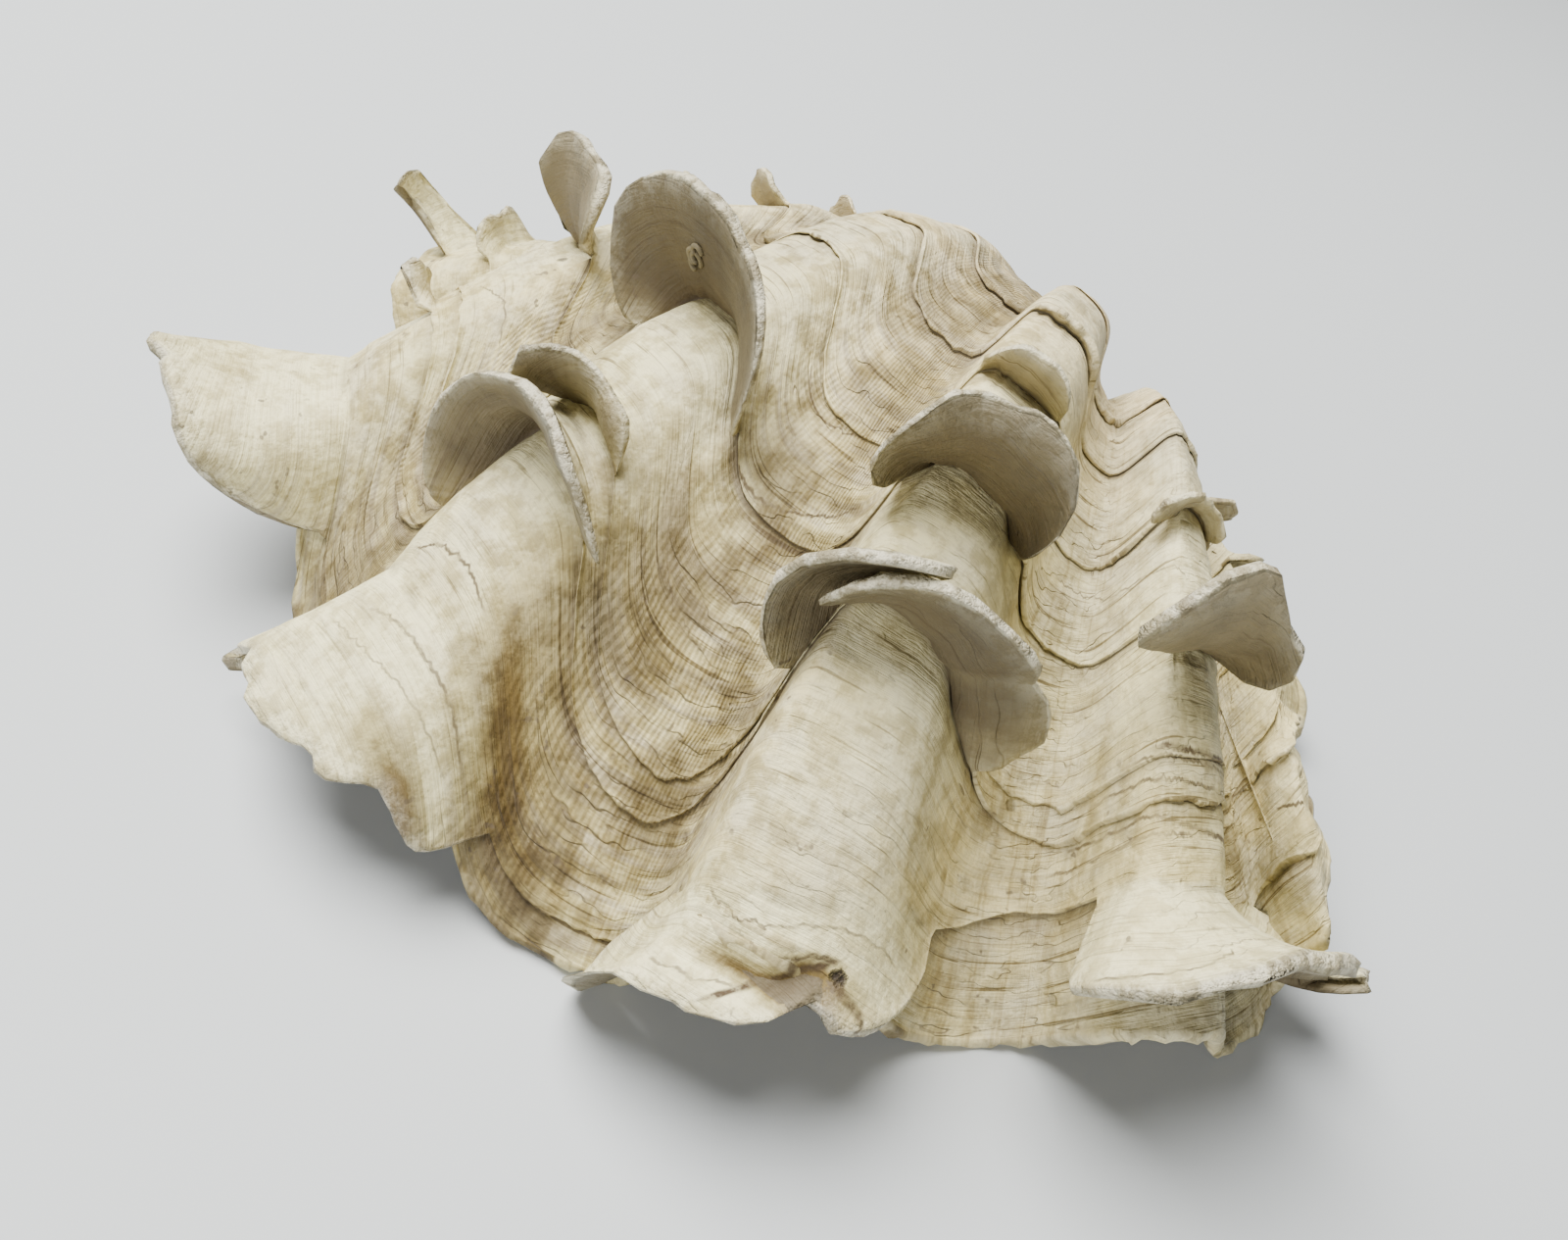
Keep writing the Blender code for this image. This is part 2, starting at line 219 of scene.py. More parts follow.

# Brown stains, one also painting shade in a groove: u, growth in mm, half length round and along
# growth in mm, strength
STAINS_AND_SHADE = [
    (2.25, 202.0, 2.5, 3.0, 1.0),
    (2.24, 201.0, 5.0, 10.0, 0.9),
    (2.31, 211.0, 6.0, 9.0, 0.9),
    (2.22, 190.0, 6.0, 12.0, 0.5),
    (2.36, 204.0, 4.0, 5.0, 0.7),
    (2.24, 170.0, 4.0, 12.0, 0.45),
    (3.25, 199.0, 3.0, 9.0, 0.6),
    (3.32, 208.0, 4.0, 5.0, 0.7),
    (3.08, 219.0, 6.0, 1.0, 2.0),
    (3.155, 216.5, 2.2, 2.6, 3.4),
    (2.20, 224.5, 4.0, 2.2, 1.6),
    (2.22, 222.5, 1.4, 2.6, 1.8),
    (2.85, 211.0, 3.5, 2.0, 0.8),
    (1.03, 222.0, 5.0, 3.0, 0.8),
    (0.86, 225.0, 3.0, 2.0, 0.8),
    (4.80, 200.0, 6.0, 5.0, 0.25),
    (3.40, 179.0, 3.0, 4.0, 0.6),
    # This broad spot darkens the groove between the second and third ribs as dirt and as painted
    # shade
    (2.42, 180.0, 9.0, 26.0, 0.5),
    (2.33, 165.0, 4.0, 16.0, 0.45),
    (2.60, 182.0, 5.0, 10.0, 0.35),
    (0.50, 200.0, 8.0, 12.0, 0.5),
    (1.50, 205.0, 6.0, 12.0, 0.6),
    (4.05, 187.0, 24.0, 5.0, 0.45),
    (4.48, 188.0, 7.0, 8.0, 0.6),
]

# Worm tubes on the underside of the second rib's large flute: where they sit, then for each one its
# shift in two directions and the radius of its curl in mm, and the angles it starts at and turns
# through
WORMS_U = 2.01
WORMS_MM = 158.0
WORM_RADIUS = 0.36
WORM_SIDES = 8
WORM_STEPS = 16
# The worm tubes take the underside colour, which is dirt and painted shade, and a little painted
# crevice shade
WORM_TINT = [0.0, 1.0, 0.1]
WORMS = [
    (0.0, 0.0, 1.5, 0.2, 5.8),
    (0.1, 0.1, 0.8, 2.0, 5.2),
    (1.5, -1.3, 0.9, 3.0, 4.6),
    (-1.3, 1.5, 0.9, 1.0, 4.6),
]

# Dirt and painted shade on the undersides of the flutes: u, growth in mm, half length round and
# along in mm, strength
SOOT_AND_SHADE = [
    (3.12, 187.0, 12.0, 9.0, 2.2),
    (3.10, 182.5, 2.5, 2.5, 0.8),
    (1.96, 160.0, 14.0, 12.0, 1.2),
    (3.05, 155.0, 14.0, 12.0, 1.3),
    (1.76, 186.4, 1.5, 1.5, 1.5),
]

# Cracks and edges of old growth: u and growth in mm where each starts and ends, how far its middle
# bows along growth, width in mm and darkness
CRACKS = [
    (3.80, 178.0, 4.60, 180.5, 0.5, 0.90, 0.95),
    (3.74, 178.6, 4.50, 180.6, 1.4, 0.45, 0.75),
    (3.70, 181.0, 4.14, 184.2, 0.6, 0.45, 0.80),
    (3.66, 186.6, 3.92, 188.6, 0.0, 0.45, 0.80),
    (3.96, 189.4, 4.22, 192.0, 0.0, 0.70, 0.90),
    (3.60, 189.4, 4.06, 191.4, 0.3, 0.45, 0.70),
    (3.84, 212.4, 3.99, 209.4, 0.6, 0.30, 0.80),
    (3.94, 208.2, 4.15, 207.2, 0.6, 0.22, 0.60),
    (4.76, 190.8, 4.88, 194.8, 0.0, 0.60, 0.90),
    (2.25, 153.5, 2.66, 146.0, 1.2, 0.35, 0.85),
    (2.27, 137.2, 2.52, 135.6, 1.7, 0.30, 0.80),
    (2.20, 163.0, 2.46, 171.0, 1.5, 0.22, 0.50),
    (1.88, 207.5, 2.16, 204.2, -2.2, 0.40, 0.90),
    (1.94, 217.2, 2.25, 213.0, -0.6, 0.40, 0.75),
    (1.90, 221.4, 2.24, 215.8, 1.4, 0.25, 0.60),
    (2.26, 202.6, 2.44, 202.4, 0.3, 0.30, 0.60),
    (2.87, 212.2, 3.09, 211.8, 1.8, 0.30, 0.80),
    (2.97, 215.0, 3.07, 216.8, 0.0, 0.25, 0.60),
    (2.92, 222.4, 3.08, 220.6, 0.4, 0.30, 0.70),
    (3.07, 212.2, 3.24, 209.0, -0.9, 0.30, 0.70),
    (3.05, 224.0, 3.165, 213.6, -0.8, 1.30, 1.00),
    (3.08, 216.4, 3.17, 213.0, -0.5, 0.60, 0.90),
    (3.17, 213.6, 3.22, 217.0, 0.0, 0.80, 0.90),
    (1.02, 176.4, 1.27, 168.0, 0.8, 0.30, 0.70),
    (3.38, 141.0, 3.62, 142.2, 0.8, 0.30, 0.70),
    (3.60, 142.4, 3.93, 151.0, -0.6, 0.30, 0.70),
]

# Colours of the shell
CREAM = (0.84, 0.775, 0.455)
WARM_CREAM = (0.85, 0.74, 0.385)
AGED = (0.84, 0.71, 0.44)
COOL = (0.71, 0.66, 0.45)
# White of fresh growth, also used as painted light on the shell in front of flutes
FRESH_AND_PAINTED_LIGHT_WHITE = (0.99, 0.925, 0.56)
BANDED = (0.56, 0.505, 0.37)
# The undersides' dark browns are dirt and painted shade under the flutes
UNDERSIDE = (0.165, 0.133, 0.075)
DARK_UNDERSIDE = (0.07, 0.052, 0.023)
PALE_UNDERSIDE = (0.25, 0.215, 0.135)
RIM = (0.66, 0.62, 0.49)
DARK_RIM = (0.28, 0.245, 0.17)
# Painted shadow lines under the growth ledges
LEDGE_SHADOW = (0.13, 0.095, 0.055)
# Painted shade for crevices, flute roots and the shell just in front of lips
PAINTED_CREVICE_SHADE = (0.10, 0.07, 0.04)
SPECK = (0.12, 0.09, 0.06)
CRACK = (0.09, 0.06, 0.03)
# Painted shade inside bore holes and pits
HOLE_SHADE = (0.035, 0.025, 0.015)

# Tints that darken the colour below them
STRIAE_TINT = (0.56, 0.51, 0.42)
HAIR_TINT = (0.30, 0.26, 0.19)
RAY_TINT = (0.66, 0.60, 0.49)
RIBLET_TINT = (0.52, 0.46, 0.36)
CLOUD_TINT = (0.58, 0.54, 0.45)
SMUDGE_TINT = (0.70, 0.66, 0.54)
# Dirt and painted shade in the grooves
GROOVE_DIRT_AND_SHADE_TINT = (0.45, 0.405, 0.31)
TAN_TINT = (0.58, 0.535, 0.42)
STAIN_TINT = (0.33, 0.265, 0.16)
# Dirt and painted shade on the flutes' undersides
SOOT_AND_SHADE_TINT = (0.42, 0.38, 0.30)

# Fine lines of the material: riblets and ledges per millimetre, and how far they wander
RIBLETS_PER_MM = 1.3
RIBLET_SWAY = 5.0
LEDGES_PER_MM = 0.40
LEDGE_WANDER = 4.5
CRACK_WAVER_MM = 2.4
HOLE_RAGGED = 1.2
CALM_FADE_MM = 40.0

# Camera: azimuth, height angle and roll in degrees, distance and aim point in millimetres
CAMERA_TURN = 29.5
CAMERA_HEIGHT = 44.3
CAMERA_ROLL = 10.4
CAMERA_AWAY = 211.9
CAMERA_AIM = np.array([-6.5, -47.8, -8.9])
FOCAL_PIXELS = 1188.0
FRAME_PIXELS = 1600.0
SENSOR_MM = 36.0
CLIP_START = 0.01

# Floor and light, in metres and watts. Each light has a place, a size, a power and a colour
FLOOR_HALF = 4.0
FLOOR_COLOUR = (0.545, 0.575, 0.602)
FLOOR_ROUGHNESS = 0.6
ROOM_COLOUR = (0.86, 0.88, 0.90)
ROOM_STRENGTH = 0.05
LIGHT_AIM = (0.0, 0.0, 0.03)
LIGHTS = [
    ("ceiling", (-0.40, 0.09, 1.15), (0.85, 1.3), 51.0, (1.0, 0.985, 0.935)),
    ("front", (0.2, -2.2, 1.0), (1.0, 1.0), 31.0, (1.0, 0.98, 0.95)),
]


def natural_spline(knots, values, x):
    """Cubic through the knots with no bend at the ends, straight beyond them."""
    n = len(knots)
    h = np.diff(knots)
    system = np.eye(n)
    right = np.zeros(n)
    for i in range(1, n - 1):
        system[i, i - 1] = h[i - 1]
        system[i, i] = 2.0 * (h[i - 1] + h[i])
        system[i, i + 1] = h[i]
        after = (values[i + 1] - values[i]) / h[i]
        before = (values[i] - values[i - 1]) / h[i - 1]
        right[i] = 6.0 * (after - before)
    bend = np.linalg.solve(system, right)
    x = np.clip(x, knots[0], knots[-1])
    k = np.clip(np.searchsorted(knots, x, side="right") - 1, 0, n - 2)
    a = (knots[k + 1] - x) / h[k]
    b = 1.0 - a
    curve = (a**3 - a) * bend[k] + (b**3 - b) * bend[k + 1]
    return a * values[k] + b * values[k + 1] + curve * h[k] ** 2 / 6.0


def monotone(knots, values, x):
    """Cubic through the knots that never overshoots them."""
    h = np.diff(knots)
    slope = np.diff(values) / h
    m = np.zeros(len(knots))
    same = slope[:-1] * slope[1:] > 0
    w1 = 2 * h[1:] + h[:-1]
    w2 = h[1:] + 2 * h[:-1]
    safe0 = np.where(same, slope[:-1], 1.0)
    safe1 = np.where(same, slope[1:], 1.0)
    m[1:-1] = np.where(same, (w1 + w2) / (w1 / safe0 + w2 / safe1), 0.0)
    m[0] = slope[0]
    m[-1] = slope[-1]
    x = np.clip(x, knots[0], knots[-1])
    k = np.clip(np.searchsorted(knots, x, side="right") - 1, 0, len(knots) - 2)
    t = (x - knots[k]) / h[k]
    p0 = (1 + 2 * t) * (1 - t) ** 2 * values[k] + t * (1 - t) ** 2 * h[k] * m[k]
    p1 = t**2 * (3 - 2 * t) * values[k + 1] + t**2 * (t - 1) * h[k] * m[k + 1]
    return p0 + p1


def smooth(low, high, x):
    t = np.clip((x - low) / (high - low), 0.0, 1.0)
    return t * t * (3 - 2 * t)


def ripple(x, seed):
    """Smooth noise along a line, from -1 to 1, one value per whole number."""
    table = np.random.RandomState(seed).uniform(-1, 1, 1024)
    k = np.floor(x).astype(int)
    t = x - k
    t = t * t * (3 - 2 * t)
    return table[k % 1024] * (1 - t) + table[(k + 1) % 1024] * t


def jag(x, seed):
    """Noise along a line with straight stretches, from -1 to 1."""
    table = np.random.RandomState(seed).uniform(-1, 1, 1024)
    k = np.floor(x).astype(int)
    t = x - k
    return table[k % 1024] * (1 - t) + table[(k + 1) % 1024] * t


def spots(table, u, mm):
    """Sum of the soft oval spots of a table at u and mm."""
    total = np.zeros_like(u)
    for at_u, at_mm, half_round, half_along, strength in table:
        off = ((u - at_u) * AROUND_MM / half_round) ** 2 + ((mm - at_mm) / half_along) ** 2
        total += strength * np.exp(-off)
    return total


def dapple(x, y, seed):
    """Smooth noise over a plane, from -1 to 1."""
    table = np.random.RandomState(seed).uniform(-1, 1, (64, 64))
    i = np.floor(x).astype(int)
    j = np.floor(y).astype(int)
    s = x - i
    t = y - j
    s = s * s * (3 - 2 * s)
    t = t * t * (3 - 2 * t)
    a = table[i % 64, j % 64] * (1 - s) + table[(i + 1) % 64, j % 64] * s
    b = table[i % 64, (j + 1) % 64] * (1 - s) + table[(i + 1) % 64, (j + 1) % 64] * s
    return a * (1 - t) + b * t


def crest_share(u):
    """1 on the crest of a fold, 0 at the bottom of a groove."""
    wave = np.tanh(FOLD_SHARPNESS * np.cos(2 * np.pi * u)) / np.tanh(FOLD_SHARPNESS)
    return 0.5 * (1 + wave)


def grown(u, g, fold=1.0):
    """Point of the growth surface at u when the valve had the share g of its full size."""
    crest = crest_share(u) * fold
    reach = crest * natural_spline(CREST_U, CREST_REACH, u)
    reach = reach + (1 - crest) * natural_spline(GROOVE_U, GROOVE_REACH, u)
    rise = crest * natural_spline(CREST_U, CREST_RISE, u)
    rise = rise + (1 - crest) * natural_spline(GROOVE_U, GROOVE_RISE, u)
    turn = np.radians(monotone(TURN_U, TURN_DEG, u))
    side = (u - 2.5) / 3.0
    coil = -(COIL_MEAN + COIL_SLOPE * side + COIL_BEND * side**2) * np.log(g)
    x = reach * np.sin(turn)
    y = -reach * np.cos(turn)
    yy = y * np.cos(coil) + rise * np.sin(coil)
    zz = -y * np.sin(coil) + rise * np.cos(coil)
    return np.stack([g * x + CREEP * g * np.log(g), g * yy, g * zz], -1)


def unit(v):
    return v / np.maximum(np.linalg.norm(v, axis=-1, keepdims=True), 1e-9)


def surface_frame(u, g, fold=1.0):
    """The point, the direction of growth, and the outward normal."""
    du = 0.02
    dg = 0.01
    point = grown(u, g, fold)
    grow = unit(grown(u, g + dg, fold) - grown(u, g - dg, fold))
    along = grown(u + du, g, fold) - grown(u - du, g, fold)
    normal = unit(np.cross(grow, along))
    return point, grow, normal


def halt_growth(k, u):
    """Growth share of halt k along the margin."""
    return HALTS[k] * (1.0 + monotone(STRAY_U, STRAY[k], u))


def plateau(x):
    return np.clip(1.0 - np.abs(x) ** 5, 0.0, 1.0) ** 0.7


def flute_shape(k, u):
    """Length, start angle, end angle and sideways drift of the lip left by halt k."""
    length = LIP_LENGTH * (0.35 + 0.65 * smooth(-0.5, 0.3, ripple(u * 2.3 + 4 * k, 90 + k)))
    start = np.full_like(u, LIP_START)
    end = np.full_like(u, LIP_END)
    drift = np.zeros_like(u)
    for halt, mid, left, right, reach, *shape in FLUTES:
        if halt != k:
            continue
        first, last, last_left, last_right, lean, flare, corner_left, corner_right = shape
        x = np.where(u < mid, (u - mid) / left, (u - mid) / right)
        share = plateau(x)
        chipped = 1.0 + 0.05 * jag(u * 15 + 9 * k, 5 + k) + 0.025 * jag(u * 43, 25 + k)
        x = np.clip(x, -1, 1)
        corner = np.where(x < 0, corner_left, corner_right) * x**2
        length += share * (reach + corner) * chipped
        flank = last + np.where(x < 0, last_left - last, last_right - last) * x**2
        start += share * (first - LIP_START)
        end += share * (flank - LIP_END)
        drift += (share > 0) * (lean + flare * x)
    jagged = 0.5 * jag(u * 17, 40 + k) + 0.4 * jag(u * 46, 50 + k)
    length *= 1.0 + jagged * np.clip(1.5 / length, 0, 1)
    for halt, at_u, half, cut in BREAKS:
        if halt == k:
            length -= cut * np.clip(1.3 - np.abs(u - at_u) / half, 0, 1)
    return np.maximum(length, 0.3), np.radians(start), np.radians(end), drift


def relief(u, mm):
    """Height of the growth ledges that are large enough for the mesh."""
    grooves = 1.0 - crest_share(u)
    wander = 0.5 * dapple(u * 3.0, mm * 0.05, 3)
    phase = mm / LEDGE_MM + wander
    saw = phase - np.floor(phase)
    ledge = saw * smooth(1.0, 0.86, saw)
    swell = dapple(u * 2.5, mm * 0.11, 8)
    fine = dapple(u * 9.0, mm * 0.33, 9)
    rough = smooth(4.45, 4.7, u) * smooth(5.4, 5.1, u) * smooth(168.0, 178.0, mm)
    lumps = 0.9 * dapple(u * 13.0, mm * 0.24, 14) * rough
    height = (LEDGE_CREST + LEDGE_GROOVE * grooves) * ledge + 0.40 * swell + 0.10 * fine + lumps
    return height + spots(DENTS, u, mm)


class Rows:
    """The rows of the valve's mesh with what the material needs to know at each point."""

    def __init__(self, u):
        self.u = u
        self.points = []
        self.growth = []
        # Shares of white for fresh growth and painted light, of underside colour, and of painted
        # crevice shade
        self.fresh_and_painted_light = []
        self.under = []
        self.crevice_shade = []
        self.rim = []

    def add(self, points, growth, fresh_and_painted_light=0.0, under=0.0, crevice_shade=0.0, rim=0.0):
        n = len(self.u)
        self.points.append(points)
        self.growth.append(growth * np.ones(n))
        self.fresh_and_painted_light.append(fresh_and_painted_light * np.ones(n))
        self.under.append(under * np.ones(n))
        self.crevice_shade.append(crevice_shade * np.ones(n))
        self.rim.append(rim * np.ones(n))


def add_flute(rows, k, g):
    """The lip of halt k: outside to the rim, round it, then back along the underside."""
    u = rows.u
    point, grow, normal = surface_frame(u, g)
    length, start, end, drift = flute_shape(k, u)
    along = unit(np.cross(normal, grow))
    wide = np.clip((length - LIP_LENGTH) / 8.0, 0.0, 1.0)
    lip = LIP_THICKNESS * np.clip(length / LIP_LENGTH, 0.35, 1.2)
    thick = lip + (FLUTE_THICKNESS - lip) * wide
    thick *= 1.0 + 0.12 * ripple(u * 30 + 5 * k, 60 + k)
    if k == 0:
        thick = np.full_like(thick, MARGIN_THICKNESS)
    fine = FLUTE_FINE
    path = [point]
    backs = []
    for i in range(fine + 1):
        angle = (start + (end - start) * i / fine)[:, None]
        sideways = (drift * i / fine)[:, None] * along
        backs.append(-np.sin(angle) * grow + np.cos(angle) * normal)
        heading = np.cos(angle) * grow + np.sin(angle) * normal + sideways
        path.append(path[-1] + heading * (length / fine)[:, None])
    fresh_and_painted_light = (k <= 1) * wide
    mm = GROWTH_MM * g

    def at(s):
        i = min(int(s * fine), fine - 1)
        t = s * fine - i
        place = path[i] * (1 - t) + path[i + 1] * t
        back = unit(backs[i] * (1 - t) + backs[i + 1] * t)
        return place, back

    # A line of painted shade where the flute leaves the surface
    root_shade_line = 0.5 * smooth(-0.3, 0.3, ripple(u * 14 + k, 31 + k)) * wide
    for s in np.linspace(0, 1, FLUTE_OUT[k] + 1):
        place, back = at(s)
        lift = relief(u, mm + s * length) * (1 - 0.5 * wide)
        near = float(smooth(0.8, 1.0, s))
        root_shade = root_shade_line if s == 0 else 0.0
        rim = 0.4 * near * wide
        rows.add(place + back * lift[:, None], mm + s * length, fresh_and_painted_light, 0.0, root_shade, rim)
    edge, back = at(1.0)
    edge = edge + back * (relief(u, mm + length) * (1 - 0.5 * wide))[:, None]
    body = thick
    thick = thick * (1.0 + RIM_SWELL * wide * (1.0 + 0.5 * jag(u * 26, 70 + k)))
    ahead = unit(path[fine] - path[fine - 1])
    for i in range(1, RIM_STEPS + 1):
        turn = math.pi * i / (RIM_STEPS + 1)
        step = 0.35 + 0.25 * ripple(u * 40 + 7 * i, 80 + k)
        out = ahead * (step * math.sin(turn) * thick)[:, None]
        down = back * (0.5 * (1 - math.cos(turn)) * thick)[:, None]
        rows.add(edge + out - down, mm + length, fresh_and_painted_light, 0.2 * wide, 0.0, wide)
    for s in np.linspace(1, 0, FLUTE_BACK[k] + 1):
        place, back = at(s)
        near = float(smooth(0.75, 1.0, s))
        taper = body * (1 + 0.5 * wide * (1 - s) ** 2) * (1 - near) + thick * near
        lift = 0.35 * dapple(u * 8 + k, np.full_like(u, s * 4), 12) * wide
        # Painted shade on the underside, deepest towards the flute's root
        underside_shade = (0.4 + 0.5 * (1 - s) ** 3) * (1 - near)
        below = place - back * (taper + lift)[:, None]
        rows.add(below, mm + s * length, 0.3 * fresh_and_painted_light, wide, underside_shade, 0.3 * near)
    # The crevice row behind the lip gets underside colour and full painted shade
    if k > 0:
        thick = body * (1 + 0.5 * wide)
        deep = grown(u, g - CREVICE_BACK / GROWTH_MM) - normal * (thick + CREVICE_DEPTH)[:, None]
        rows.add(deep, mm, 0.0, wide, 1.0)
    return thick


def add_outside(rows):
    """All rows of the outside, from the beak to the margin."""
    u = rows.u
    older = np.full_like(u, BEAK_GROWTH)
    sink = np.zeros_like(u)
    flute_near = np.zeros_like(u)
    last = len(HALTS) - 1
    for k in range(last, -1, -1):
        newer = halt_growth(k, u)
        n = BODY_STEPS[k]
        first = 0 if k == last else 1
        for i in range(first, n):
            s = i / n
            g = older + (newer - older) * s
            point, _, normal = surface_frame(u, g)
            mm = GROWTH_MM * g
            lift = relief(u, mm) * smooth(0.0, 0.15, s) - sink * (1 - s) ** 2
            # Painted shade just in front of a lip, and painted light in white on the shell in front
            # of a flute
            shade = SHADE_SHARE * math.exp(-1.2 * (i - 1)) * (k < last) * (1.0 - 0.8 * flute_near)
            painted_light_and_fresh_white = PAINTED_LIGHT_SHARE * flute_near * math.sqrt(1 - s) if k < 5 else 0.0
            rows.add(point + normal * lift[:, None], mm, painted_light_and_fresh_white, 0.0, shade)
        sink = add_flute(rows, k, newer)
        flute_near = smooth(1.5, 4.0, flute_shape(k, u)[0])
        older = newer


def add_inside(rows):
    """Rows of the inside, from the margin to the hinge plate and under the beak."""
    u = rows.u
    growth = np.interp(
        np.linspace(0, len(INNER_GROWTH) - 1, INNER_STEPS * (len(INNER_GROWTH) - 1) + 1),
        np.arange(len(INNER_GROWTH)),
        INNER_GROWTH,
    )
    top = None
    for g in growth:
        deep = (1.0 - g) / (1.0 - INNER_GROWTH[-1])
        wall = WALL_MARGIN + (WALL_DEEP - WALL_MARGIN) * deep**0.6
        point, _, normal = surface_frame(u, np.full_like(u, g), 1.0 - 0.6 * deep**0.8)
        top = point - normal * wall
        rows.add(top, GROWTH_MM * g, 0.0, 0.0)
    share = (u - U_START) / (U_END - U_START)
    hinge = np.stack([
        HINGE_LEFT + (HINGE_RIGHT - HINGE_LEFT) * share,
        np.full_like(u, HINGE_Y),
        np.full_like(u, HINGE_Z),
    ], -1)
    lift = np.array([0.0, 6.0, 4.0])
    for s in np.linspace(0.12, 0.95, HINGE_STEPS):
        rows.add(top * (1 - s) + hinge * s + lift * (s * (1 - s)), GROWTH_MM * 0.3)
    rows.add(hinge, GROWTH_MM * 0.25)
    rows.add(hinge + np.array([0.0, 1.5, -3.2]), GROWTH_MM * 0.25)
    rows.add(hinge + np.array([0.0, 4.0, -4.0]), GROWTH_MM * 0.2)
    rows.add(hinge + np.array([0.0, 9.0, -4.5]), GROWTH_MM * 0.2)


def even_columns(count):
    """Values of u spread mostly evenly along the margin's length."""
    fine = np.linspace(U_START, U_END, 6001)
    edge = grown(fine, np.full_like(fine, 0.85))
    step = np.linalg.norm(np.diff(edge, axis=0), axis=1)
    run = np.concatenate([[0.0], np.cumsum(step)])
    mixed = 0.75 * run / run[-1] + 0.25 * (fine - U_START) / (U_END - U_START)
    return np.interp(np.linspace(0, 1, count), mixed, fine), run[-1]


def valve_rows():
    u, margin_mm = even_columns(COLUMNS)
    rows = Rows(u)
    add_outside(rows)
    add_inside(rows)
    points = np.stack(rows.points)
    points += HINGE_AT
    points[..., 2] = np.maximum(points[..., 2], 0.0)
    return rows, points, margin_mm


def tube_points(course, normal):
    """Rings of a thin tube along a course that lies flat on a surface."""
    heading = unit(np.gradient(course, axis=0))
    side = unit(np.cross(heading, normal))
    top = np.cross(side, heading)
    places = []
    for i in range(len(course)):
        for j in range(WORM_SIDES):
            angle = 2.0 * math.pi * j / WORM_SIDES
            out = math.cos(angle) * side[i] + math.sin(angle) * top[i]
            places.append(course[i] + WORM_RADIUS * out)
    return places


def tube_faces(begin):
    """Faces of a closed tube whose first point has the number begin."""
    quads = []
    for i in range(WORM_STEPS - 1):
        low = begin + i * WORM_SIDES
        high = low + WORM_SIDES
        for j in range(WORM_SIDES):
            k = (j + 1) % WORM_SIDES
            quads.append((low + j, low + k, high + k, high + j))
    last = begin + (WORM_STEPS - 1) * WORM_SIDES
    quads.append(tuple(begin + j for j in reversed(range(WORM_SIDES))))
    quads.append(tuple(last + j for j in range(WORM_SIDES)))
    return quads


def worm_tubes(rows, points):
    """Small worm tubes on the underside of one flute: points, faces, and their row and column."""
    column = int(np.argmin(np.abs(rows.u - WORMS_U)))
    under = np.stack(rows.under)[:, column] > 0.5
    off = np.where(under, np.abs(np.stack(rows.growth)[:, column] - WORMS_MM), 1e9)
    row = int(np.argmin(off))
    along = points[row + 1, column] - points[row - 1, column]
    across = points[row, column + 1] - points[row, column - 1]
    normal = unit(np.cross(along, across))
    first = unit(along)
    second = np.cross(normal, first)
    places = []
    faces = []
    for shift_1, shift_2, curl, start, reach in WORMS:
        centre = points[row, column] + first * shift_1 + second * shift_2
        course = []
        for t in np.linspace(0.0, 1.0, WORM_STEPS):
            turn = start + reach * t
            flat = first * math.cos(turn) + second * math.sin(turn)
            course.append(centre + flat * curl * (1.0 - 0.35 * t) + normal * (0.15 + 0.5 * t))
        faces += tube_faces(len(places))
        places += tube_points(np.array(course), normal)
    return np.array(places), faces, row, column


def sheet_faces(n_rows, n_cols):
    """Faces of the closed sheet of the valve, with one cap at each end of the margin."""
    index = np.arange(n_rows * n_cols).reshape(n_rows, n_cols)
    after = np.roll(index, -1, axis=0)
    corners = [index[:, :-1], after[:, :-1], after[:, 1:], index[:, 1:]]
    quads = np.stack(corners, -1).reshape(-1, 4)
    faces = [tuple(q) for q in quads.tolist()]
    faces.append(tuple(index[:, 0].tolist()))
    faces.append(tuple(index[::-1, -1].tolist()))
    return faces


def three(first, second, third):
    """Three values for each point, one point per line."""
    return np.stack([first, second, third], -1).reshape(-1, 3)


def valve_mesh():
    """The valve's mesh with what its material reads, and the margin's length in millimetres."""
    rows, points, margin_mm = valve_rows()
    n_rows, n_cols, _ = points.shape
    faces = sheet_faces(n_rows, n_cols)
    worms, worm_faces, worm_row, worm_column = worm_tubes(rows, points)
    count = n_rows * n_cols
    faces += [tuple(count + corner for corner in face) for face in worm_faces]
    mesh = bpy.data.meshes.new("valve_shell")
    mesh.from_pydata((np.vstack([points.reshape(-1, 3), worms]) * MM).tolist(), [], faces)
    mesh.polygons.foreach_set("use_smooth", [True] * len(mesh.polygons))

    around = (rows.u - U_START) / (U_END - U_START) * margin_mm
    across = np.ones((n_rows, 1))
    growth = np.stack(rows.growth)
    coat = three(across * around, growth, across * (1.0 - crest_share(rows.u)))
    # Shares of white for fresh growth and painted light, of underside colour, and of painted
    # crevice shade
    tint = three(np.stack(rows.fresh_and_painted_light), np.stack(rows.under), np.stack(rows.crevice_shade))
    # Stains with some painted shade, rims, and underside dirt with painted shade
    wear_and_shade = three(
        np.stack([spots(STAINS_AND_SHADE, rows.u, mm) for mm in rows.growth]),
        np.stack(rows.rim),
        np.stack([spots(SOOT_AND_SHADE, rows.u, mm) for mm in rows.growth]),
    )
    worm_coat = [around[worm_column], growth[worm_row, worm_column], 0.0]
    layers = [("coat", coat, worm_coat), ("tint", tint, WORM_TINT), ("wear_and_shade", wear_and_shade, [0.0, 0.0, 0.0])]
    for name, values, worm_values in layers:
        layer = mesh.attributes.new(name, "FLOAT_VECTOR", "POINT")
        all_values = np.vstack([values, np.tile(worm_values, (len(worms), 1))])
        layer.data.foreach_set("vector", all_values.reshape(-1))
    mesh.update()
    return mesh, margin_mm


